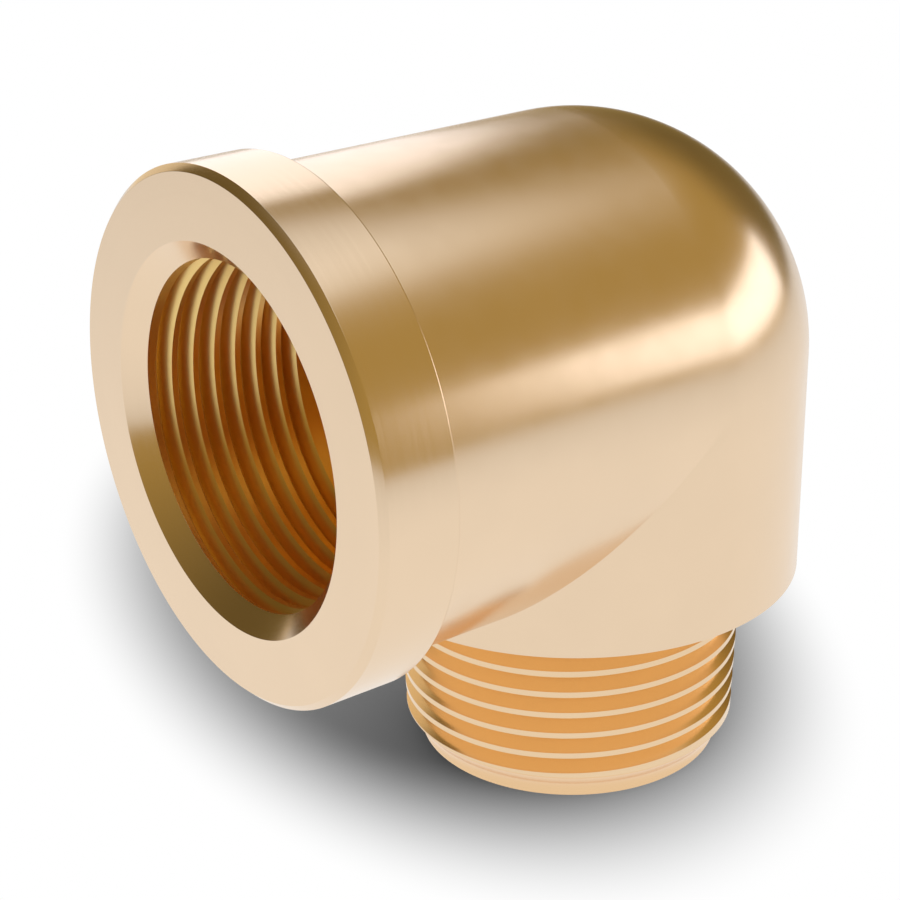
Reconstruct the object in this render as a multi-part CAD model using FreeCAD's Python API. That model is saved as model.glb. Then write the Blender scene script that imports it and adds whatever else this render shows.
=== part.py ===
import FreeCAD, Part
import math
import os

# Brass street elbow for one inch taper pipe thread: one casting, machined at both ends.
# The frame's origin is the centre of the male end's face. The male axis is +Z.
# The female port faces -Y.

# Driving dimensions, in millimetres
centre_height = 40.2
face_distance = 38.0
barrel_radius = 21.9
male_length = 18.8
collar_rise = 1.7
collar_width = 7.3
bore_radius = 15.45
bore_depth = 19.0
waterway_radius = 12.3

# Small features: the port's chamfer and countersink, broken edges, and the cast hollow, which is
# a little wider than the machined bore in front of it and narrows in a step above the shoulder
face_chamfer = 0.6
countersink_width = 1.8
countersink_depth = 1.7
edge_break = 0.2
core_relief = 0.25
core_step_lift = 2.0

# Male pipe thread, tapered, with 60 degree flanks and crests cut flat
inch = 25.4
turns_per_inch = 11.5
half_angle = math.radians(30)
crest_flat = 0.56
taper = 1 / 32
male_crest_radius = 16.09

# Both ends of that thread: the pilot is turned down to the depth of the roots, the cutter enters the
# metal just above the lead-in cone and backs out of it at the shoulder
pilot_length = 1.0
lead_angle = math.radians(40)
thread_start = 1.2
entry_turns = 0.4
shoulder_gap = 1.1
exit_turns = 1.1

# How the groove is drawn: how far its cutter stands out of the metal, and the points on its rails
lip = 0.4
cutter_clearance = 0.05
points_per_turn = 24

pitch = inch / turns_per_inch
thread_depth = (pitch - crest_flat) / 2 / math.tan(half_angle)
pilot_radius = male_crest_radius - thread_depth
thread_end = (male_length - shoulder_gap) / pitch
collar_radius = barrel_radius + collar_rise
collar_start = face_distance - collar_width
bore_end = face_distance - bore_depth
core_radius = bore_radius + core_relief

X = FreeCAD.Vector(1, 0, 0)
Y = FreeCAD.Vector(0, 1, 0)
Z = FreeCAD.Vector(0, 0, 1)
BASE = FreeCAD.Vector(0, 0, 0)
CORNER = FreeCAD.Vector(0, 0, centre_height)


def revolved(outline, origin, axis):
    """Turn a closed outline of (radius, distance along the axis) round the axis."""
    points = [origin + X * radius + axis * along for radius, along in outline]
    face = Part.Face(Part.makePolygon(points + points[:1]))
    return face.revolve(origin, axis, 360)


def prism(outline, half_width):
    """Extrude a closed outline of (y, z) points along X, to both sides of the middle plane."""
    points = [FreeCAD.Vector(-half_width, y, z) for y, z in outline]
    face = Part.Face(Part.makePolygon(points + points[:1]))
    return face.extrude(X * (2 * half_width))


def quarter_ball(radius):
    """The ball's quarter behind and above the corner, which closes the back of the turn."""
    ball = Part.makeSphere(radius, CORNER)
    corner = FreeCAD.Vector(-2 * radius, 0, centre_height)
    return ball.common(Part.makeBox(4 * radius, 2 * radius, 2 * radius, corner))


def barrels():
    """The two equal barrels, mitred inside the bend and ball-shaped round its back."""
    foot = [
        (0, male_length),
        (barrel_radius - edge_break, male_length),
        (barrel_radius, male_length + edge_break),
        (barrel_radius, centre_height),
        (0, centre_height),
    ]
    upright = revolved(foot, BASE, Z)
    level = Part.makeCylinder(barrel_radius, collar_start, CORNER, -Y)
    body = upright.fuse([level, quarter_ball(barrel_radius)])
    # the level barrel ends on the 45 degree plane, so none of it hangs below the shoulder behind that
    depth = centre_height - male_length
    below = [
        (barrel_radius, male_length),
        (-depth, male_length),
        (-2 * depth, male_length - depth),
        (barrel_radius, male_length - depth),
    ]
    return body.cut(prism(below, barrel_radius)).removeSplitter()


def collar():
    """The turned collar round the female port, with its front edge chamfered."""
    outline = [
        (0, collar_start),
        (collar_radius - edge_break, collar_start),
        (collar_radius, collar_start + edge_break),
        (collar_radius, face_distance - face_chamfer),
        (collar_radius - face_chamfer, face_distance),
        (0, face_distance),
    ]
    return revolved(outline, CORNER, -Y)


def crest_radius(height):
    """The male thread's outside, which widens towards the shoulder."""
    return male_crest_radius + taper * height


def backed_out(turn):
    """How far the cutter stands back from its full depth: clear of the metal at both ends."""
    entered = (turn - thread_start) / entry_turns
    left = (thread_end - turn) / exit_turns
    share = min(max(min(entered, left), 0.0), 1.0)
    return (thread_depth + cutter_clearance) * (1 + math.cos(math.pi * share)) / 2


def groove_rail(turns, depth, offset):
    """The curve that one corner of the groove's section follows round the spigot."""
    points = []
    for turn in turns:
        angle = 2 * math.pi * turn
        height = pitch * turn
        radius = crest_radius(height) + backed_out(turn) - depth
        points.append(FreeCAD.Vector(radius * math.cos(angle), radius * math.sin(angle), height + offset))
    curve = Part.BSplineCurve()
    curve.interpolate(Points=points, Parameters=turns)
    return curve.toShape()


def thread_groove():
    """A solid in the form of the groove between the turns of the right-handed male thread.

    At turn t the groove's root lies at angle 360 t and height pitch * t. Its skin is made in
    lengths of one turn or less, each with a ruled surface between every two rails.
    """
    mouth = (pitch - crest_flat) / 2 + lip * math.tan(half_angle)
    section = [(thread_depth, 0), (-lip, -mouth), (-lip, mouth)]
    pieces = math.ceil(thread_end - thread_start)
    piece_turns = (thread_end - thread_start) / pieces
    faces = []
    end_sections = []
    for piece in range(pieces):
        first = thread_start + piece_turns * piece
        turns = [first + piece_turns * i / points_per_turn for i in range(points_per_turn + 1)]
        rails = [groove_rail(turns, depth, offset) for depth, offset in section]
        faces += [Part.makeRuledSurface(rails[i - 1], rails[i]) for i in range(len(rails))]
        end_sections += [[rail.Vertexes[end].Point for rail in rails] for end in (0, -1)]
    for corners in (end_sections[0], end_sections[-1]):
        faces.append(Part.Face(Part.makePolygon(corners + corners[:1])))
    shell = Part.makeShell(faces)
    shell.sewShape()
    groove = Part.makeSolid(shell.Shells[0])
    if groove.Volume < 0:
        groove.reverse()
    return groove


def male_end():
    """The threaded spigot: plain pilot, lead-in cone, then the tapered thread up to the shoulder."""
    lead_rise = (crest_radius(pilot_length) - pilot_radius) / (math.tan(lead_angle) - taper)
    lead_end = pilot_length + lead_rise
    outline = [
        (0, 0),
        (pilot_radius, 0),
        (pilot_radius, pilot_length),
        (crest_radius(lead_end), lead_end),
        (crest_radius(male_length), male_length),
        (crest_radius(male_length), centre_height),
        (0, centre_height),
    ]
    return revolved(outline, BASE, Z).cut(thread_groove())


def core():
    """The cast hollow: it turns the corner and narrows in a cone to the male end's waterway."""
    level = Part.makeCylinder(core_radius, bore_end, CORNER, -Y)
    step_start = male_length + core_step_lift
    step_end = step_start + core_radius - waterway_radius
    outline = [
        (0, 0),
        (waterway_radius, 0),
        (waterway_radius, step_start),
        (core_radius, step_end),
        (core_radius, centre_height),
        (0, centre_height),
    ]
    upright = revolved(outline, BASE, Z)
    return upright.fuse([level, quarter_ball(core_radius)]).removeSplitter()


def port():
    """The machined bore, which carries the female thread, and the countersink at its mouth."""
    outline = [
        (0, bore_end),
        (bore_radius, bore_end),
        (bore_radius, face_distance - countersink_depth),
        (bore_radius + countersink_width, face_distance),
        (0, face_distance),
    ]
    return revolved(outline, CORNER, -Y)


def elbow_body():
    outside = barrels().fuse([collar(), male_end()])
    return outside.cut(core().fuse(port()))


def main():
    body = elbow_body()
    solid = body.Solids[0]
    print("solids", len(body.Solids), "valid", solid.isValid(), "faces", len(solid.Faces))
    print("volume cm3", round(solid.Volume / 1000, 2), "centre of mass", solid.CenterOfMass)
    print("box", solid.BoundBox)
    os.makedirs("parts", exist_ok=True)
    solid.exportStep("parts/elbow_body.step")


main()
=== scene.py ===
import math

import bmesh
import bpy
import numpy as np
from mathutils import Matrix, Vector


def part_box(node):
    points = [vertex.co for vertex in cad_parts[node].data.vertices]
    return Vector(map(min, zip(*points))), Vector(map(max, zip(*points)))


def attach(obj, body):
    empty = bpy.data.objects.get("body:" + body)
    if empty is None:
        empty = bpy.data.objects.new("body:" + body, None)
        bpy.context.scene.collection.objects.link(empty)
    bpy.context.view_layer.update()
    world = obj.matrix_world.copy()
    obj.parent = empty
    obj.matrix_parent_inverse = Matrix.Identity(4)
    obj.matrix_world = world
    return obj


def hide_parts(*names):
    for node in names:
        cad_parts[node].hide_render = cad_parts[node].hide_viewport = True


bl_info = {
    "name": "Brass street elbow",
    "version": (1, 0, 0),
    "blender": (4, 5, 0),
    "location": "3D View > Sidebar > Elbow",
    "description": "Builds a threaded brass street elbow and the white table it stands on",
    "category": "Object",
}

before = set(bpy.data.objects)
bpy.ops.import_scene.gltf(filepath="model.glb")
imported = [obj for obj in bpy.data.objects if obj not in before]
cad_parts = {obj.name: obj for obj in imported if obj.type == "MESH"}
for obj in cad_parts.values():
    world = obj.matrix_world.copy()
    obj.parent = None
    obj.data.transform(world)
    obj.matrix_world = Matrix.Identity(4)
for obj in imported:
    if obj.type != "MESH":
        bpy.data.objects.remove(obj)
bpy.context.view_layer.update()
CAD_LOW, CAD_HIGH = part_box("elbow_body")

MM = 0.001

# How finely the surfaces are drawn: points round the axes, and rows along the barrels' straight
# run, turn and fall, outside and inside
COLUMNS = 256
OUTSIDE_ROWS = (12, 36, 8)
HOLLOW_ROWS = (3, 16, 3)

# Sideways reach of a thread's flank for each unit of its depth
FLANK_SLOPE = math.tan(math.radians(30))

# Gaps between the threads' ribbons and the cones at their starts, and the height at which the
# lead-in's rings meet the foot's
MALE_GAP = 0.06 * MM
FEMALE_GAP = 0.05 * MM
FOOT_TOP = 0.1 * MM

# Points closer than this are one, and faces that meet at more than this angle keep a sharp edge
MERGED = 0.0008 * MM
SHARP = math.radians(40)

# What the frame gives: the port's face, the height of its axis, and the collar's and barrels' radii
FACE_Y = CAD_LOW.y
COLLAR_RADIUS = CAD_HIGH.x
CENTRE_HEIGHT = CAD_HIGH.z - COLLAR_RADIUS
BARREL_RADIUS = CAD_HIGH.y


def length(name, description, default, low=0.0):
    """A size in metres."""
    return bpy.props.FloatProperty(
        name=name, description=description, default=default, min=low, precision=6, unit="LENGTH"
    )


def share(name, description, default, top=1.0):
    """A plain number from nought to top."""
    return bpy.props.FloatProperty(
        name=name, description=description, default=default, min=0.0, max=top
    )


def angle(name, description, degrees):
    """An angle, kept in radians."""
    return bpy.props.FloatProperty(
        name=name, description=description, default=math.radians(degrees), subtype="ANGLE"
    )


def hex_colour(text):
    """The linear colour that an sRGB hex value such as "c8a060" stands for."""
    levels = np.array([int(text[i:i + 2], 16) for i in (0, 2, 4)]) / 255
    linear = np.where(levels <= 0.04045, levels / 12.92, ((levels + 0.055) / 1.055) ** 2.4)
    return tuple(float(level) for level in linear)


def colour(name, description, text):
    """A colour given as an sRGB hex value."""
    return bpy.props.FloatVectorProperty(
        name=name,
        description=description,
        default=hex_colour(text),
        size=3,
        min=0.0,
        max=1.0,
        subtype="COLOR",
    )


class BodySizes(bpy.types.PropertyGroup):
    """The sizes of the fitting that the frame's box doesn't give."""

    shoulder: length("Shoulder", "Height of the shoulder above the male end's face", 18.8 * MM)
    collar_width: length("Collar width", "Length of the collar along the port's axis", 7.3 * MM)
    face_chamfer: length("Face chamfer", "Chamfer round the collar's front edge", 0.6 * MM)
    countersink_width: length("Countersink width", "How far the port widens at its mouth", 1.8 * MM)
    countersink_depth: length("Countersink depth", "Depth of the cone at the mouth", 1.7 * MM)
    bore: length("Bore radius", "Radius of the bore and of its thread's crests", 15.45 * MM)
    bore_depth: length("Bore depth", "Depth of the machined bore behind the port's face", 19.0 * MM)
    core: length("Core radius", "Radius of the cast hollow that turns the corner", 15.7 * MM)
    waterway: length("Waterway radius", "Radius of the hole through the male end", 12.3 * MM)
    step_lift: length("Core step", "Height above the shoulder where the hollow narrows", 2.0 * MM)
    edge: length("Edge round", "Radius of the small rounds on machined edges", 0.05 * MM)
    lead_round: length("Lead-in round", "Radius of the hollow under the lead-in cone", 2.4 * MM)


class ThreadSizes(bpy.types.PropertyGroup):
    """One inch taper pipe thread, 11.5 turns to the inch, with 60 degree flanks and flat crests."""

    pitch: length("Pitch", "Distance from one turn to the next", 25.4 / 11.5 * MM)
    crest_flat: length("Crest flat", "Width of the flat on each crest", 0.56 * MM)
    male_crest: length("Male crest radius", "Crest radius at the male end's face", 16.09 * MM)
    taper: share("Taper", "How much the male radius widens for each unit of height", 1 / 32)
    pilot: length("Pilot length", "Length of the plain band below the lead-in cone", 1.0 * MM)
    lead_slope: share("Lead-in slope", "How much the lead-in cone widens with height", 0.8391, 3.0)
    male_start: share("Male start", "Turn at which the male groove starts", 1.2, 3.0)
    male_entry: share("Male run-in", "Turns over which the male groove reaches its depth", 0.4, 3.0)
    male_gap: length("Shoulder gap", "Distance from the groove's end to the shoulder", 1.1 * MM)
    male_exit: share("Male run-out", "Turns over which the male groove runs out", 1.1, 3.0)
    female_start: share("Female start", "Turn at which the female groove starts", 0.95, 3.0)
    female_entry: share("Female run-in", "Turns over which this groove reaches its depth", 0.3, 3.0)
    female_end: share("Female end", "Turn at which the female groove ends", 8.4, 20.0)
    female_exit: share("Female run-out", "Turns over which the female groove runs out", 0.8, 3.0)
    female_bulge: share("Female bulge", "How far the female flanks bulge into the groove", 0.4)


class BrassLook(bpy.types.PropertyGroup):
    """Colours and gloss of the brass."""

    cast: colour("Polished casting", "Colour of the polished outside", "f0d6b7")
    turned: colour("Turned", "Colour of the turned face and collar", "f0d6b7")
    male: colour("Male thread", "Colour of the male thread, which isn't polished", "f5cf9b")
    crest: colour("Male crests", "Colour of the crests, turned before the thread is cut", "efd1aa")
    spigot: colour("Male end", "Colour of the male end's foot and the shoulder round it", "eec89a")
    female: colour("Female thread", "Colour of the tapped thread", "f3d28a")
    raw: colour("Raw core", "Colour of the cast hollow, as it came from the mould", "f3d282")
    cast_gloss: share("Casting roughness", "Roughness of the polished outside", 0.23)
    turned_gloss: share("Turned roughness", "Roughness of turned faces", 0.2)
    male_gloss: share("Male roughness", "Roughness of the male end and its thread", 0.22)
    female_gloss: share("Female roughness", "Roughness of the tapped thread", 0.32)
    raw_gloss: share("Core roughness", "Roughness of the cast hollow", 0.2)


def ring_angles():
    """Equal angles round a barrel, from the top of the level one or the back of the upright one."""
    return 2 * math.pi * np.arange(COLUMNS) / COLUMNS


def level_rings(profile):
    """Turn (radius, depth behind the port's face) round the port's axis: one ring for each row."""
    radius, depth = (column[:, None] for column in np.asarray(profile, float).T)
    around = ring_angles()[None, :]
    y = FACE_Y + depth + 0 * around
    return np.stack([radius * np.sin(around), y, CENTRE_HEIGHT + radius * np.cos(around)], -1)


def upright_rings(profile):
    """Turn (radius, height) round the male axis: one ring for each row."""
    radius, height = (column[:, None] for column in np.asarray(profile, float).T)
    around = ring_angles()[None, :]
    return np.stack([radius * np.sin(around), radius * np.cos(around), height + 0 * around], -1)


def rounded(corners, radii, steps=4):
    """An outline with its inner corners rounded. Each corner becomes an arc that starts and ends on
    its two sides, at the radius times the tangent of half the turn from the corner."""
    corners = np.asarray(corners, float)
    points = [corners[:1]]
    for before, corner, after, radius in zip(corners, corners[1:], corners[2:], radii):
        to_before = (before - corner) / np.linalg.norm(before - corner)
        to_after = (after - corner) / np.linalg.norm(after - corner)
        half_turn = (math.pi - math.acos(np.clip(to_before @ to_after, -1, 1))) / 2
        reach = radius * math.tan(half_turn)
        middle = to_before + to_after
        centre = corner + middle / np.linalg.norm(middle) * radius / math.cos(half_turn)
        start = corner + to_before * reach - centre
        side = corner + to_after * reach - centre
        turn = 2 * half_turn
        swing = np.linspace(0, 1, steps + 1)[:, None] * turn
        arc = (np.sin(turn - swing) * start + np.sin(swing) * side) / math.sin(turn)
        points.append(centre + arc)
    points.append(corners[-1:])
    return np.concatenate(points)


def spaced(start, end, count, near=0.03 * MM):
    """Shares of the way from start to end, with one row close to either end to hold the shading."""
    inner = np.linspace(0, 1, count + 1)[1:-1]
    span = np.abs(end - start)
    edge = np.minimum(near / np.maximum(span, near), 0.4)
    rows = [0 * edge, edge] + [edge + (1 - 2 * edge) * t for t in inner] + [1 - edge, 1 + 0 * edge]
    return np.stack(rows)


def swept_barrel(radius, level_start, upright_end, level_rows, turn_rows, upright_rows):
    """The barrels as one circle carried along the level axis, round the corner and down.

    Where a point of the circle lies above the level axis, it runs to the corner, turns about the
    X axis through the corner and runs down. Where it lies below, both of its straight runs end on
    the 45 degree plane, which makes the mitre inside the bend. upright_end is the (x, y, z) where
    each run ends below.
    """
    around = ring_angles()
    side = radius * np.sin(around)
    above = radius * np.maximum(np.cos(around), 0)
    below = radius * np.minimum(np.cos(around), 0)
    level = level_start + spaced(level_start, below, level_rows) * (below - level_start)
    level = np.stack([side + 0 * level, level, CENTRE_HEIGHT + above + below + 0 * level], -1)
    turn = np.linspace(0, math.pi / 2, turn_rows + 1)[:, None]
    turned_y = below + above * np.sin(turn)
    turned_z = CENTRE_HEIGHT + below + above * np.cos(turn)
    turned = np.stack([side + 0 * turn, turned_y, turned_z], -1)
    run = turned[-1][None]
    fall = spaced(turned[-1][:, 2], upright_end[:, 2], upright_rows)[:, :, None]
    upright = run + fall * (upright_end - run)
    return level, turned, upright


def groove_rows(depth, pitch, bulge):
    """The section of one turn, from the middle of a crest to the middle of the next.

    Each row is (offset along the axis, depth below the crest). At the share u of the depth, the
    flank stands at (1 - u) (1 - bulge u) of the groove's half width, so a bulge of nought gives
    straight flanks at 60 degrees to each other. Where the cutter isn't fully in, the groove is
    shallower and narrower by the same share. The crest's edges are sharp, the root a narrow floor.
    """
    u = np.linspace(0, 0.96, 6 if bulge else 2)[:, None]
    flank = depth * FLANK_SLOPE * (1 - u) * (1 - bulge * u)
    crest = 0 * depth[None]
    offset = np.concatenate([crest - pitch / 2, -flank, flank[::-1], crest + pitch / 2])
    down = np.concatenate([crest, u * depth, u[::-1] * depth, crest])
    return offset, down


def reached(turn, start, entry, end, leave):
    """The share of its depth that a groove has at each turn. It grows along half a cosine at the
    start and falls along another at the end."""
    inside = np.clip(np.minimum((turn - start) / entry, (end - turn) / leave), 0, 1)
    return (1 - np.cos(math.pi * inside)) / 2


class Groove:
    """A helical groove: the crest radius by distance, the (start, entry, end, exit) of its cut in
    turns, its direction, 1 towards the axis or -1 away from it, and how far its flanks bulge."""

    def __init__(self, sizes, crest, turns, inward, bulge):
        self.pitch = sizes.pitch
        self.full = (sizes.pitch - sizes.crest_flat) / 2 / FLANK_SLOPE
        self.crest = crest
        self.turns = turns
        self.inward = inward
        self.bulge = bulge

    def depth(self, turn):
        return self.full * reached(turn, *self.turns)

    def radius(self, along, turn_share):
        """The surface's radius at a distance along the axis. turn_share is the angle in turns.

        The nearest root lies where distance / pitch - turn_share is whole. With r the share of the
        half width between the flank's point and the groove's edge, and b the bulge, the share of
        the depth that is cut away is 2 r / (1 + b + sqrt((1 + b)^2 - 4 b r)).
        """
        turn = along / self.pitch
        whole = np.round(turn - turn_share)
        offset = np.abs(along - (whole + turn_share) * self.pitch)
        depth = self.depth(whole + turn_share)
        rest = np.maximum(depth - offset / FLANK_SLOPE, 0) / np.maximum(depth, 0.001 * MM)
        wide = 1 + self.bulge
        cut = 2 * rest / (wide + np.sqrt(wide**2 - 4 * self.bulge * rest))
        return self.crest(along) - self.inward * depth * cut

    def ribbon(self, start, end):
        """(angle in turns, distance along the axis, radius) of the turns from start to end.

        One turn's section runs along the helix. Where it leaves the stretch it is pressed flat on
        the stretch's end, so that the ribbon's edges close on the rings beside it.
        """
        first = math.floor((start / self.pitch - 0.5) * COLUMNS) / COLUMNS
        last = math.ceil((end / self.pitch + 0.5) * COLUMNS) / COLUMNS
        turn = np.linspace(first, last, round((last - first) * COLUMNS) + 1)
        offset, down = groove_rows(self.depth(turn), self.pitch, self.bulge)
        along = turn[None] * self.pitch + offset
        radius = self.crest(along) - self.inward * down
        outside = (along < start) | (along > end)
        along = np.clip(along, start, end)
        radius = np.where(outside, self.radius(along, turn[None] % 1), radius)
        return turn[None] + 0 * along, along, radius


def male_point(turn, height, radius):
    """The male thread climbs anticlockwise from +X as its height grows."""
    around = 2 * math.pi * turn
    return np.stack([radius * np.cos(around), radius * np.sin(around), height], -1)


def female_point(turn, depth, radius):
    """The female thread goes in clockwise, seen from +X towards +Z, as its depth grows."""
    around = -2 * math.pi * turn
    height = CENTRE_HEIGHT + radius * np.sin(around)
    return np.stack([radius * np.cos(around), FACE_Y + depth, height], -1)


def grid_faces(rows, columns, closed):
    """Corner numbers of the quads of a grid, whose last column joins the first if it is closed."""
    row = np.arange(rows - 1)[:, None]
    column = np.arange(columns if closed else columns - 1)[None]
    after = (column + 1) % columns
    a = row * columns + column
    b = row * columns + after
    return np.stack([a, b, b + columns, a + columns], -1).reshape(-1, 4)


class Skin:
    """Collects grids of points, each with the number of its material, into one mesh."""

    def __init__(self):
        self.points = []
        self.quads = []
        self.materials = []
        self.count = 0

    def add(self, grid, material, closed=True):
        rows, columns = grid.shape[:2]
        quads = grid_faces(rows, columns, closed)
        self.points.append(grid.reshape(-1, 3))
        self.quads.append(quads + self.count)
        self.materials.append(np.full(len(quads), material))
        self.count += rows * columns

    def mesh(self, name):
        """One closed mesh: points that coincide are merged, and faces point out of the metal."""
        points = np.concatenate(self.points)
        quads = np.concatenate(self.quads)
        mesh = bpy.data.meshes.new(name)
        mesh.vertices.add(len(points))
        mesh.vertices.foreach_set("co", points.astype(np.float32).ravel())
        mesh.loops.add(quads.size)
        mesh.loops.foreach_set("vertex_index", quads.ravel().astype(np.int32))
        mesh.polygons.add(len(quads))
        mesh.polygons.foreach_set("loop_start", (np.arange(len(quads)) * 4).astype(np.int32))
        mesh.polygons.foreach_set("material_index", np.concatenate(self.materials).astype(np.int32))
        mesh.update(calc_edges=True)
        work = bmesh.new()
        work.from_mesh(mesh)
        bmesh.ops.remove_doubles(work, verts=work.verts, dist=MERGED)
        bmesh.ops.dissolve_degenerate(work, edges=work.edges, dist=MERGED / 2)
        bmesh.ops.recalc_face_normals(work, faces=work.faces)
        open_edges = sum(1 for edge in work.edges if len(edge.link_faces) != 2)
        work.to_mesh(mesh)
        work.free()
        if open_edges:
            raise ValueError(f"the skin of {name} has {open_edges} open edges")
        mesh.shade_smooth()
        mesh.set_sharp_from_angle(angle=SHARP)
        return mesh


CAST, PORT, FEMALE, MALE, CREST, SPIGOT, RAW = range(7)


def add_outside(skin, body):
    """The port's face and collar, the barrels and the shoulder."""
    mouth = body.bore + body.countersink_width
    collar = rounded(
        [
            (mouth, 0),
            (COLLAR_RADIUS - body.face_chamfer, 0),
            (COLLAR_RADIUS, body.face_chamfer),
            (COLLAR_RADIUS, body.collar_width),
            (BARREL_RADIUS, body.collar_width),
            (BARREL_RADIUS, body.collar_width + body.edge),
        ],
        [body.edge, body.edge, 3 * body.edge, body.edge / 2],
    )
    skin.add(level_rings(collar), PORT)

    around = ring_angles()
    mitre = CENTRE_HEIGHT + BARREL_RADIUS * np.minimum(np.cos(around), 0)
    top = np.maximum(mitre, body.shoulder)
    turn = np.linspace(0, math.pi / 2, 5)[:, None]
    radius = BARREL_RADIUS - body.edge * (1 - np.cos(turn))
    height = np.minimum(body.shoulder + body.edge * (1 - np.sin(turn)), top)
    mitre_y = height - CENTRE_HEIGHT
    y = np.maximum(radius * np.cos(around), mitre_y)
    x = np.where(y == mitre_y, BARREL_RADIUS, radius) * np.sin(around)
    shoulder_edge = np.stack([x, y, height], -1)

    level_start = FACE_Y + body.collar_width + body.edge
    barrels = swept_barrel(BARREL_RADIUS, level_start, shoulder_edge[0], *OUTSIDE_ROWS)
    for grid in (*barrels, shoulder_edge):
        skin.add(grid, CAST)
    return shoulder_edge[-1]


def add_male_end(skin, body, thread, rim):
    """The shoulder's underside, the male thread, its lead-in, the pilot and the waterway. In the
    lead-in the radius is the lesser of the cone's and the thread's."""

    def crest(height):
        return thread.male_crest + thread.taper * height

    end = (body.shoulder - thread.male_gap) / thread.pitch
    turns = (thread.male_start, thread.male_entry, end, thread.male_exit)
    groove = Groove(thread, crest, turns, 1, 0)
    pilot = thread.male_crest - groove.full

    spigot = upright_rings([(crest(body.shoulder), body.shoulder)])[0]
    across = spaced(np.zeros(COLUMNS), np.linalg.norm(rim - spigot, axis=1), 2)[:, :, None]
    skin.add(rim + across * (spigot - rim), SPIGOT)

    lead_rise = (crest(thread.pilot) - pilot) / (thread.lead_slope - thread.taper)
    lead_end = thread.pilot + lead_rise
    ribbon_start = lead_end + MALE_GAP
    ribbon = male_point(*groove.ribbon(ribbon_start, body.shoulder))
    for rows, material in ((slice(0, 2), CREST), (slice(1, -1), MALE), (slice(-2, None), CREST)):
        skin.add(ribbon[rows], material, closed=False)
    corners = [(pilot, FOOT_TOP), (pilot, thread.pilot), (crest(lead_end), lead_end)]
    lead = rounded(corners, [body.lead_round], 8)
    height = np.append(np.linspace(FOOT_TOP, lead_end, 30), ribbon_start)[:, None]
    turn_share = np.arange(COLUMNS)[None] / COLUMNS
    cone = np.where(height > lead_end, crest(height), np.interp(height, lead[:, 1], lead[:, 0]))
    radius = np.minimum(groove.radius(height + 0 * turn_share, turn_share), cone)
    skin.add(male_point(turn_share + 0 * height, height + 0 * turn_share, radius), SPIGOT)

    step = body.shoulder + body.step_lift
    foot = rounded(
        [
            (pilot, FOOT_TOP),
            (pilot, 0),
            (body.waterway, 0),
            (body.waterway, step),
            (body.core, step + body.core - body.waterway),
        ],
        [body.edge, body.edge, 4 * body.edge],
    )
    skin.add(upright_rings(foot), SPIGOT)


def add_hollow(skin, body, thread):
    """The cast hollow round the corner, the machined bore with its thread, and the countersink."""

    def crest(depth):
        return body.bore + 0 * depth

    step_end = body.shoulder + body.step_lift + body.core - body.waterway
    foot = upright_rings([(body.core, step_end)])[0]
    core_start = FACE_Y + body.bore_depth
    for grid in swept_barrel(body.core, core_start, foot, *HOLLOW_ROWS):
        skin.add(grid, RAW)
    skin.add(level_rings([(body.core, body.bore_depth), (body.bore, body.bore_depth)]), RAW)

    turns = (thread.female_start, thread.female_entry, thread.female_end, thread.female_exit)
    groove = Groove(thread, crest, turns, -1, thread.female_bulge)
    ribbon_start = body.countersink_depth + FEMALE_GAP
    skin.add(female_point(*groove.ribbon(ribbon_start, body.bore_depth)), FEMALE, closed=False)
    mouth = body.bore + body.countersink_width
    corners = [(body.bore, ribbon_start), (body.bore, body.countersink_depth), (mouth, 0)]
    cone = rounded(corners, [body.edge / 5])
    skin.add(level_rings(cone), PORT)


def add_node(tree, kind, settings=(), wires=()):
    """Add a node. settings gives its attributes and constant sockets, and wires the output that
    each linked socket is fed from. A socket goes by its name or its number."""
    node = tree.nodes.new(kind)
    for name, value in dict(settings).items():
        if isinstance(name, int) or name in node.inputs:
            node.inputs[name].default_value = value
        else:
            setattr(node, name, value)
    for name, output in dict(wires).items():
        tree.links.new(output, node.inputs[name])
    return node


def new_tree(owner):
    """The empty node tree of a material or world, and its object or sky coordinates."""
    owner.use_nodes = True
    owner.node_tree.nodes.clear()
    return owner.node_tree, add_node(owner.node_tree, "ShaderNodeTexCoord")


def lathe_rings(tree, place, centre, across, along):
    """Coordinates on which noise makes a turning tool's rings: X is the distance from the axis,
    and Y the place along it.

    centre is a point of the axis, across keeps the two axes beside it, and along is the third.
    """
    minus_centre = {"operation": "SUBTRACT", 1: centre}
    moved = add_node(tree, "ShaderNodeVectorMath", minus_centre, {0: place.outputs["Object"]})
    times_across = {"operation": "MULTIPLY", 1: across}
    flat = add_node(tree, "ShaderNodeVectorMath", times_across, {0: moved.outputs["Vector"]})
    wires = {0: flat.outputs["Vector"]}
    radius = add_node(tree, "ShaderNodeVectorMath", {"operation": "LENGTH"}, wires)
    parts = add_node(tree, "ShaderNodeSeparateXYZ", (), {"Vector": moved.outputs["Vector"]})
    wires = {"X": radius.outputs["Value"], "Y": parts.outputs[along]}
    return add_node(tree, "ShaderNodeCombineXYZ", (), wires).outputs["Vector"]


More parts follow.
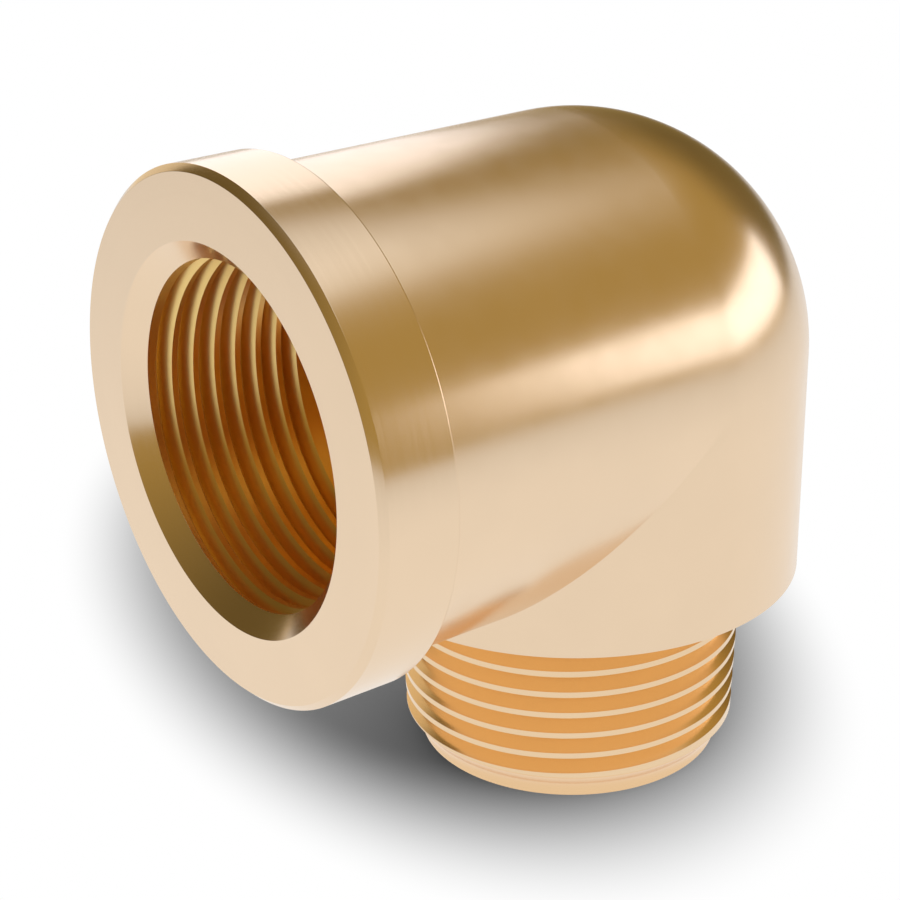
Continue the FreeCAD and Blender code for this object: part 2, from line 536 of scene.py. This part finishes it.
def brass(name, tone, roughness, relief, size, axis=None):
    """Brass whose colour drifts by a fortieth over 14 mm, with a grain in its gloss, which it
    changes by 6 percent, and in its relief.

    The drift and the uneven gloss keep the highlights from looking drawn. relief is the grain's
    height in metres, and size its width. It is alike in all directions, or makes rings round an
    axis, given as lathe_rings takes it.
    """
    material = bpy.data.materials.new(name)
    tree, place = new_tree(material)
    wires = {"Vector": place.outputs["Object"]}
    cloud = add_node(tree, "ShaderNodeTexNoise", {"Scale": 1 / (14 * MM), "Detail": 3.0}, wires)
    shade = add_node(tree, "ShaderNodeValToRGB", (), {"Fac": cloud.outputs["Fac"]})
    low, high = shade.color_ramp.elements
    low.position, high.position = 0.35, 0.65
    low.color = (*(0.975 * level for level in tone), 1)
    high.color = (*tone, 1)
    if axis:
        wires = {"Vector": lathe_rings(tree, place, *axis)}
    grain = add_node(tree, "ShaderNodeTexNoise", {"Scale": 1 / size, "Detail": 1.0}, wires)
    fine = grain.outputs["Fac"]
    smoothest, roughest = roughness * 0.94, roughness * 1.06
    span = {"From Min": 0.3, "From Max": 0.7, "To Min": smoothest, "To Max": roughest}
    gloss = add_node(tree, "ShaderNodeMapRange", span, {"Value": fine})
    bump = add_node(tree, "ShaderNodeBump", {"Strength": 1.0, "Distance": relief}, {"Height": fine})
    surface = add_node(
        tree,
        "ShaderNodeBsdfPrincipled",
        {"Metallic": 1.0},
        {
            "Base Color": shade.outputs["Color"],
            "Roughness": gloss.outputs["Result"],
            "Normal": bump.outputs["Normal"],
        },
    )
    add_node(tree, "ShaderNodeOutputMaterial", (), {"Surface": surface.outputs["BSDF"]})
    return material


def brass_finishes(look):
    """The finishes in the order of CAST, PORT, FEMALE, MALE, CREST, SPIGOT and RAW.

    Each has a colour, a roughness, the height and width of its grain, and the axis of its rings.
    """
    waves = (0.0008 * MM, 2.5 * MM)
    grain = (0.0001 * MM, 0.4 * MM)
    # the tool's feed is under 0.1 mm: drawn at 0.3 mm, or no pixel would show it
    rings = (0.00015 * MM, 0.3 * MM)
    port_axis = ((0, 0, CENTRE_HEIGHT), (1, 0, 1), "Y")
    male_axis = ((0, 0, 0), (1, 1, 0), "Z")
    # polished by hand after casting: hardly seen waves, 2.5 mm wide
    yield brass("polished_cast_brass", look.cast, look.cast_gloss, *waves)
    # fine rings round the port's axis, which draw the highlights out a little
    yield brass("turned_port_brass", look.turned, look.turned_gloss, *rings, port_axis)
    # the tap tears the metal a little, so its flanks blur what they mirror
    yield brass("tapped_thread_brass", look.female, look.female_gloss, *grain)
    # the male thread's flanks are cut on the lathe, clean and bright
    yield brass("lathe_cut_thread_brass", look.male, look.male_gloss, *grain)
    # the crests keep the lathe's surface from before the thread was cut
    yield brass("turned_crest_brass", look.crest, look.male_gloss, *rings, male_axis)
    # the lathe's rings round the male end
    yield brass("turned_male_end_brass", look.spigot, look.male_gloss, *rings, male_axis)
    # the skin that a metal core leaves: smooth, with hardly seen waves
    yield brass("raw_cast_brass", look.raw, look.raw_gloss, *waves)


class BuildElbow(bpy.types.Operator):
    """Build the fitting's body with both threads, and give it its brass"""

    bl_idname = "elbow.build_body"
    bl_label = "Build elbow"

    def execute(self, context):
        body = context.scene.elbow_body_sizes
        thread = context.scene.elbow_thread_sizes
        look = context.scene.elbow_brass_look
        skin = Skin()
        rim = add_outside(skin, body)
        add_male_end(skin, body, thread, rim)
        add_hollow(skin, body, thread)
        mesh = skin.mesh("street_elbow")
        for finish in brass_finishes(look):
            mesh.materials.append(finish)
        piece = bpy.data.objects.new("street_elbow", mesh)
        context.scene.collection.objects.link(piece)
        weight = piece.modifiers.new("Even shading", "WEIGHTED_NORMAL")
        weight.keep_sharp = True
        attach(piece, "root")
        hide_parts("elbow_body")
        return {"FINISHED"}


class StageLook(bpy.types.PropertyGroup):
    """The camera, the table and the light."""

    azimuth: angle("Azimuth", "Where the camera stands, from the port's front towards +X", 53.646)
    elevation: angle("Elevation", "How far the camera looks down", 23.69)
    roll: angle("Roll", "Turn of the picture about its middle", -0.832)
    distance: length("Distance", "From the camera to the plane through the origin", 216.74 * MM)
    right: length("Right", "The camera's place beside its line to the origin", -11.48 * MM, -1.0)
    up: length("Up", "The camera's place above its line to the origin", 26.94 * MM, -1.0)
    lens: bpy.props.FloatProperty(
        name="Lens", description="Focal length", default=85.909, subtype="DISTANCE_CAMERA"
    )
    table: colour("Table", "Colour of the table", "fafafa")
    dark: colour("Dark wall", "Warm dark band of the room that the brass mirrors", "b09756")
    back_box: colour("Back box", "Cool white of the soft box behind the fitting", "e2ebff")
    side_box: colour("Side box", "Cool white of the soft box at the back left", "e2ebff")
    left_box: colour("Left box", "Warm white of the dim soft box at the left of the port", "fff3dc")


TABLE_RADIUS = 0.5
TABLE_POINTS = 96

# How bright the table's painted glow is for glossy rays, in place of the lit table and its shadow,
# by distance in metres from the middle
PAINTED_TABLE_GLOW = {"From Min": 0.08, "From Max": 0.3, "To Min": 0.95, "To Max": 0.8}

# The oval round which the table's shadow fades: its middle, its turn and shape, and the radii in
# metres where the fading starts and ends
OVAL_PLACE = (-0.035, 0.0084, 0)
OVAL_TURN = math.radians(72.1)
OVAL_SHAPE = (0.583, 1, 1)
OVAL_FADE = (0.0438, 0.071)

# What the metal mirrors: elevations in degrees where a band of the room ends, each with the share
# of white in the dark wall's colour there
ROOM_BANDS = [(-8, 0.95), (-4, 0.0), (40, 0.0), (48, 0.05), (53, 0.22), (55.5, 1.0), (90, 1.0)]

# Darker parts of that wall: azimuth, elevation, inner and outer radius in degrees, light kept
SHADED_WALLS = [(-156, 9, 10, 32, 0.42), (-62, 20, 8, 90, 0.32)]

# Soft boxes: azimuth and elevation of the middle, width, height and tilt in degrees, brightness
SOFT_BOXES = {
    "back_box": (153, 8.8, 53.5, 18.4, 0, 1.8),
    "side_box": (-118.5, 24, 19.5, 50, 9.5, 1.35),
    "left_box": (-96, 19, 28, 52, 0, 0.62),
}

# Brightness of the even light from all round that the table gets
DOME = 0.337


def add_camera(scene, look):
    """The photograph's camera: it looks along -back from distance back + right + up."""
    a, e, r = look.azimuth, look.elevation, look.roll
    back = np.array([math.sin(a) * math.cos(e), -math.cos(a) * math.cos(e), math.sin(e)])
    right = np.array([math.cos(a), math.sin(a), 0.0])
    up = np.cross(back, right)
    place = back * look.distance + right * look.right + up * look.up
    side = right * math.cos(r) + up * math.sin(r)
    top = up * math.cos(r) - right * math.sin(r)
    data = bpy.data.cameras.new("camera")
    data.lens = look.lens
    data.sensor_width = 36
    data.clip_start = 0.01
    camera = bpy.data.objects.new("camera", data)
    matrix = np.eye(4)
    matrix[:3, 0] = side
    matrix[:3, 1] = top
    matrix[:3, 2] = back
    matrix[:3, 3] = place
    scene.collection.objects.link(camera)
    camera.matrix_world = matrix.T.tolist()
    scene.camera = camera


def table_material(look):
    """White table, matt and clean. For the camera it keeps the fitting's shadow and fades into
    plain white round an oval, so that it has no edge. For glossy rays it is a painted glow
    instead: the metal mirrors it as plain white without the shadow, a little greyer further
    out.
    """
    material = bpy.data.materials.new("white_table")
    tree, place = new_tree(material)
    oval = add_node(
        tree,
        "ShaderNodeMapping",
        {
            "vector_type": "TEXTURE",
            "Location": OVAL_PLACE,
            "Rotation": (0, 0, OVAL_TURN),
            "Scale": OVAL_SHAPE,
        },
        {"Vector": place.outputs["Object"]},
    )
    wires = {0: oval.outputs["Vector"]}
    inside = add_node(tree, "ShaderNodeVectorMath", {"operation": "LENGTH"}, wires)
    span = {"interpolation_type": "SMOOTHSTEP", "From Min": OVAL_FADE[0], "From Max": OVAL_FADE[1]}
    fade = add_node(tree, "ShaderNodeMapRange", span, {"Value": inside.outputs["Value"]})
    path = add_node(tree, "ShaderNodeLightPath")
    # the camera sees plain white outside the oval; glossy rays always see the painted glow, so the
    # metal mirrors no shadow
    shown = add_node(
        tree,
        "ShaderNodeMath",
        {"operation": "MULTIPLY"},
        {0: fade.outputs["Result"], 1: path.outputs["Is Camera Ray"]},
    )
    white_share = add_node(
        tree,
        "ShaderNodeMath",
        {"operation": "MAXIMUM"},
        {0: shown.outputs["Value"], 1: path.outputs["Is Glossy Ray"]},
    )
    # the painted glow that the metal mirrors dims a little with distance from the middle
    wires = {0: place.outputs["Object"]}
    reach = add_node(tree, "ShaderNodeVectorMath", {"operation": "LENGTH"}, wires)
    wires = {"Value": reach.outputs["Value"]}
    mirrored = add_node(tree, "ShaderNodeMapRange", PAINTED_TABLE_GLOW, wires)
    strength = add_node(
        tree,
        "ShaderNodeMath",
        {"operation": "MAXIMUM"},
        {0: mirrored.outputs["Result"], 1: path.outputs["Is Camera Ray"]},
    )
    matt = add_node(tree, "ShaderNodeBsdfDiffuse", {"Color": (*look.table, 1)})
    white = add_node(
        tree, "ShaderNodeEmission", {"Color": (1, 1, 1, 1)}, {"Strength": strength.outputs["Value"]}
    )
    mixed = add_node(
        tree,
        "ShaderNodeMixShader",
        (),
        {0: white_share.outputs["Value"], 1: matt.outputs["BSDF"], 2: white.outputs["Emission"]},
    )
    add_node(tree, "ShaderNodeOutputMaterial", (), {"Surface": mixed.outputs["Shader"]})
    return material


def add_table(scene, look):
    """A round table top, flat at the height of the male end's face."""
    around = 2 * math.pi * np.arange(TABLE_POINTS) / TABLE_POINTS
    rim = TABLE_RADIUS * np.stack([np.cos(around), np.sin(around), 0 * around], -1)
    mesh = bpy.data.meshes.new("table")
    mesh.from_pydata(rim.tolist(), [], [list(range(TABLE_POINTS))])
    mesh.materials.append(table_material(look))
    table = bpy.data.objects.new("table", mesh)
    scene.collection.objects.link(table)


def direction(azimuth, elevation):
    """The unit vector towards an azimuth, from the port's front towards +X, and an elevation."""
    a, e = math.radians(azimuth), math.radians(elevation)
    return np.array([math.sin(a) * math.cos(e), -math.cos(a) * math.cos(e), math.sin(e)])


def add_room(scene, look):
    """The white room. The camera sees plain white, and the table gets the same faint light from all
    round. The metal mirrors a warm dark wall below a white ceiling."""
    world = bpy.data.worlds.new("white_room")
    scene.world = world
    tree, place = new_tree(world)
    sky = place.outputs["Generated"]
    axes = add_node(tree, "ShaderNodeSeparateXYZ", (), {"Vector": sky})
    height = add_node(tree, "ShaderNodeMapRange", {"From Min": -1.0}, {"Value": axes.outputs["Z"]})
    bands = add_node(tree, "ShaderNodeValToRGB", (), {"Fac": height.outputs["Result"]})
    ramp = bands.color_ramp
    while len(ramp.elements) < len(ROOM_BANDS):
        ramp.elements.new(0.5)
    dark = np.array(look.dark)
    for element, (elevation, white) in zip(ramp.elements, ROOM_BANDS):
        element.position = (1 + math.sin(math.radians(elevation))) / 2
        element.color = (*(dark + (1 - dark) * white), 1)
    mirrored = bands.outputs["Color"]
    for azimuth, elevation, inner, outer, kept in SHADED_WALLS:
        dot_middle = {"operation": "DOT_PRODUCT", 1: direction(azimuth, elevation)}
        near = add_node(tree, "ShaderNodeVectorMath", dot_middle, {0: sky})
        span = {
            "From Min": math.cos(math.radians(outer)),
            "From Max": math.cos(math.radians(inner)),
            "To Min": 1.0,
            "To Max": kept,
        }
        shade = add_node(tree, "ShaderNodeMapRange", span, {"Value": near.outputs["Value"]})
        scaled = add_node(
            tree,
            "ShaderNodeVectorMath",
            {"operation": "SCALE"},
            {0: mirrored, "Scale": shade.outputs["Result"]},
        )
        mirrored = scaled.outputs["Vector"]
    room = add_node(tree, "ShaderNodeBackground", (), {"Color": mirrored})
    dome = add_node(tree, "ShaderNodeBackground", {"Color": (1, 1, 1, 1), "Strength": DOME})
    backdrop = add_node(tree, "ShaderNodeBackground", {"Color": (1, 1, 1, 1), "Strength": 1.0})
    path = add_node(tree, "ShaderNodeLightPath")
    glossy, camera = path.outputs["Is Glossy Ray"], path.outputs["Is Camera Ray"]
    room_or_dome = {0: glossy, 1: dome.outputs["Background"], 2: room.outputs["Background"]}
    lit = add_node(tree, "ShaderNodeMixShader", (), room_or_dome)
    backdrop_or_lit = {0: camera, 1: lit.outputs["Shader"], 2: backdrop.outputs["Background"]}
    shown = add_node(tree, "ShaderNodeMixShader", (), backdrop_or_lit)
    add_node(tree, "ShaderNodeOutputWorld", (), {"Surface": shown.outputs["Shader"]})


def add_soft_box(scene, name, azimuth, elevation, width, height, tilt, brightness):
    """A flat lamp, 2 m away, that faces the fitting. Its top leans sideways by the tilt."""
    reach = 2.0
    away = direction(azimuth, elevation)
    lean = math.radians(tilt)
    data = bpy.data.lights.new(name, "AREA")
    data.shape = "RECTANGLE"
    data.size = 2 * reach * math.tan(math.radians(width) / 2)
    data.size_y = 2 * reach * math.tan(math.radians(height) / 2)
    data.energy = brightness * math.pi * data.size * data.size_y
    lamp = bpy.data.objects.new(name, data)
    scene.collection.objects.link(lamp)
    right = np.cross([0, 0, 1], away)
    right /= np.linalg.norm(right)
    top = np.cross(away, right)
    matrix = np.eye(4)
    matrix[:3, 0] = right * math.cos(lean) + top * math.sin(lean)
    matrix[:3, 1] = top * math.cos(lean) - right * math.sin(lean)
    matrix[:3, 2] = away
    matrix[:3, 3] = away * reach + [0, 0, CENTRE_HEIGHT]
    lamp.matrix_world = matrix.T.tolist()
    lamp.visible_camera = False
    return lamp


class SetStage(bpy.types.Operator):
    """Set up the camera, the white table, the white room and the soft boxes"""

    bl_idname = "elbow.set_stage"
    bl_label = "Set stage"

    def execute(self, context):
        scene = context.scene
        look = scene.elbow_stage_look
        scene.view_settings.view_transform = "Standard"
        add_camera(scene, look)
        add_table(scene, look)
        add_room(scene, look)
        for name, values in SOFT_BOXES.items():
            box = add_soft_box(scene, name, *values)
            box.data.color = getattr(look, name)
            box.visible_diffuse = False
        # light in the bore bounces many times, and the brass throws no glow on the table
        scene.cycles.glossy_bounces = 12
        scene.cycles.caustics_reflective = False
        return {"FINISHED"}


class ElbowPanel(bpy.types.Panel):
    """Lists the steps that build the fitting and its stage"""

    bl_idname = "VIEW3D_PT_elbow"
    bl_label = "Street elbow"
    bl_space_type = "VIEW_3D"
    bl_region_type = "UI"
    bl_category = "Elbow"

    def draw(self, context):
        for operator in (BuildElbow, SetStage):
            self.layout.operator(operator.bl_idname)


GROUPS = {
    "elbow_body_sizes": BodySizes,
    "elbow_thread_sizes": ThreadSizes,
    "elbow_brass_look": BrassLook,
    "elbow_stage_look": StageLook,
}
CLASSES = (*GROUPS.values(), BuildElbow, SetStage, ElbowPanel)


def register():
    for item in CLASSES:
        bpy.utils.register_class(item)
    for name, group in GROUPS.items():
        setattr(bpy.types.Scene, name, bpy.props.PointerProperty(type=group))


def unregister():
    for name in GROUPS:
        delattr(bpy.types.Scene, name)
    for item in reversed(CLASSES):
        bpy.utils.unregister_class(item)


def main():
    register()
    bpy.ops.elbow.build_body()
    bpy.ops.elbow.set_stage()


if __name__ == "__main__":
    main()
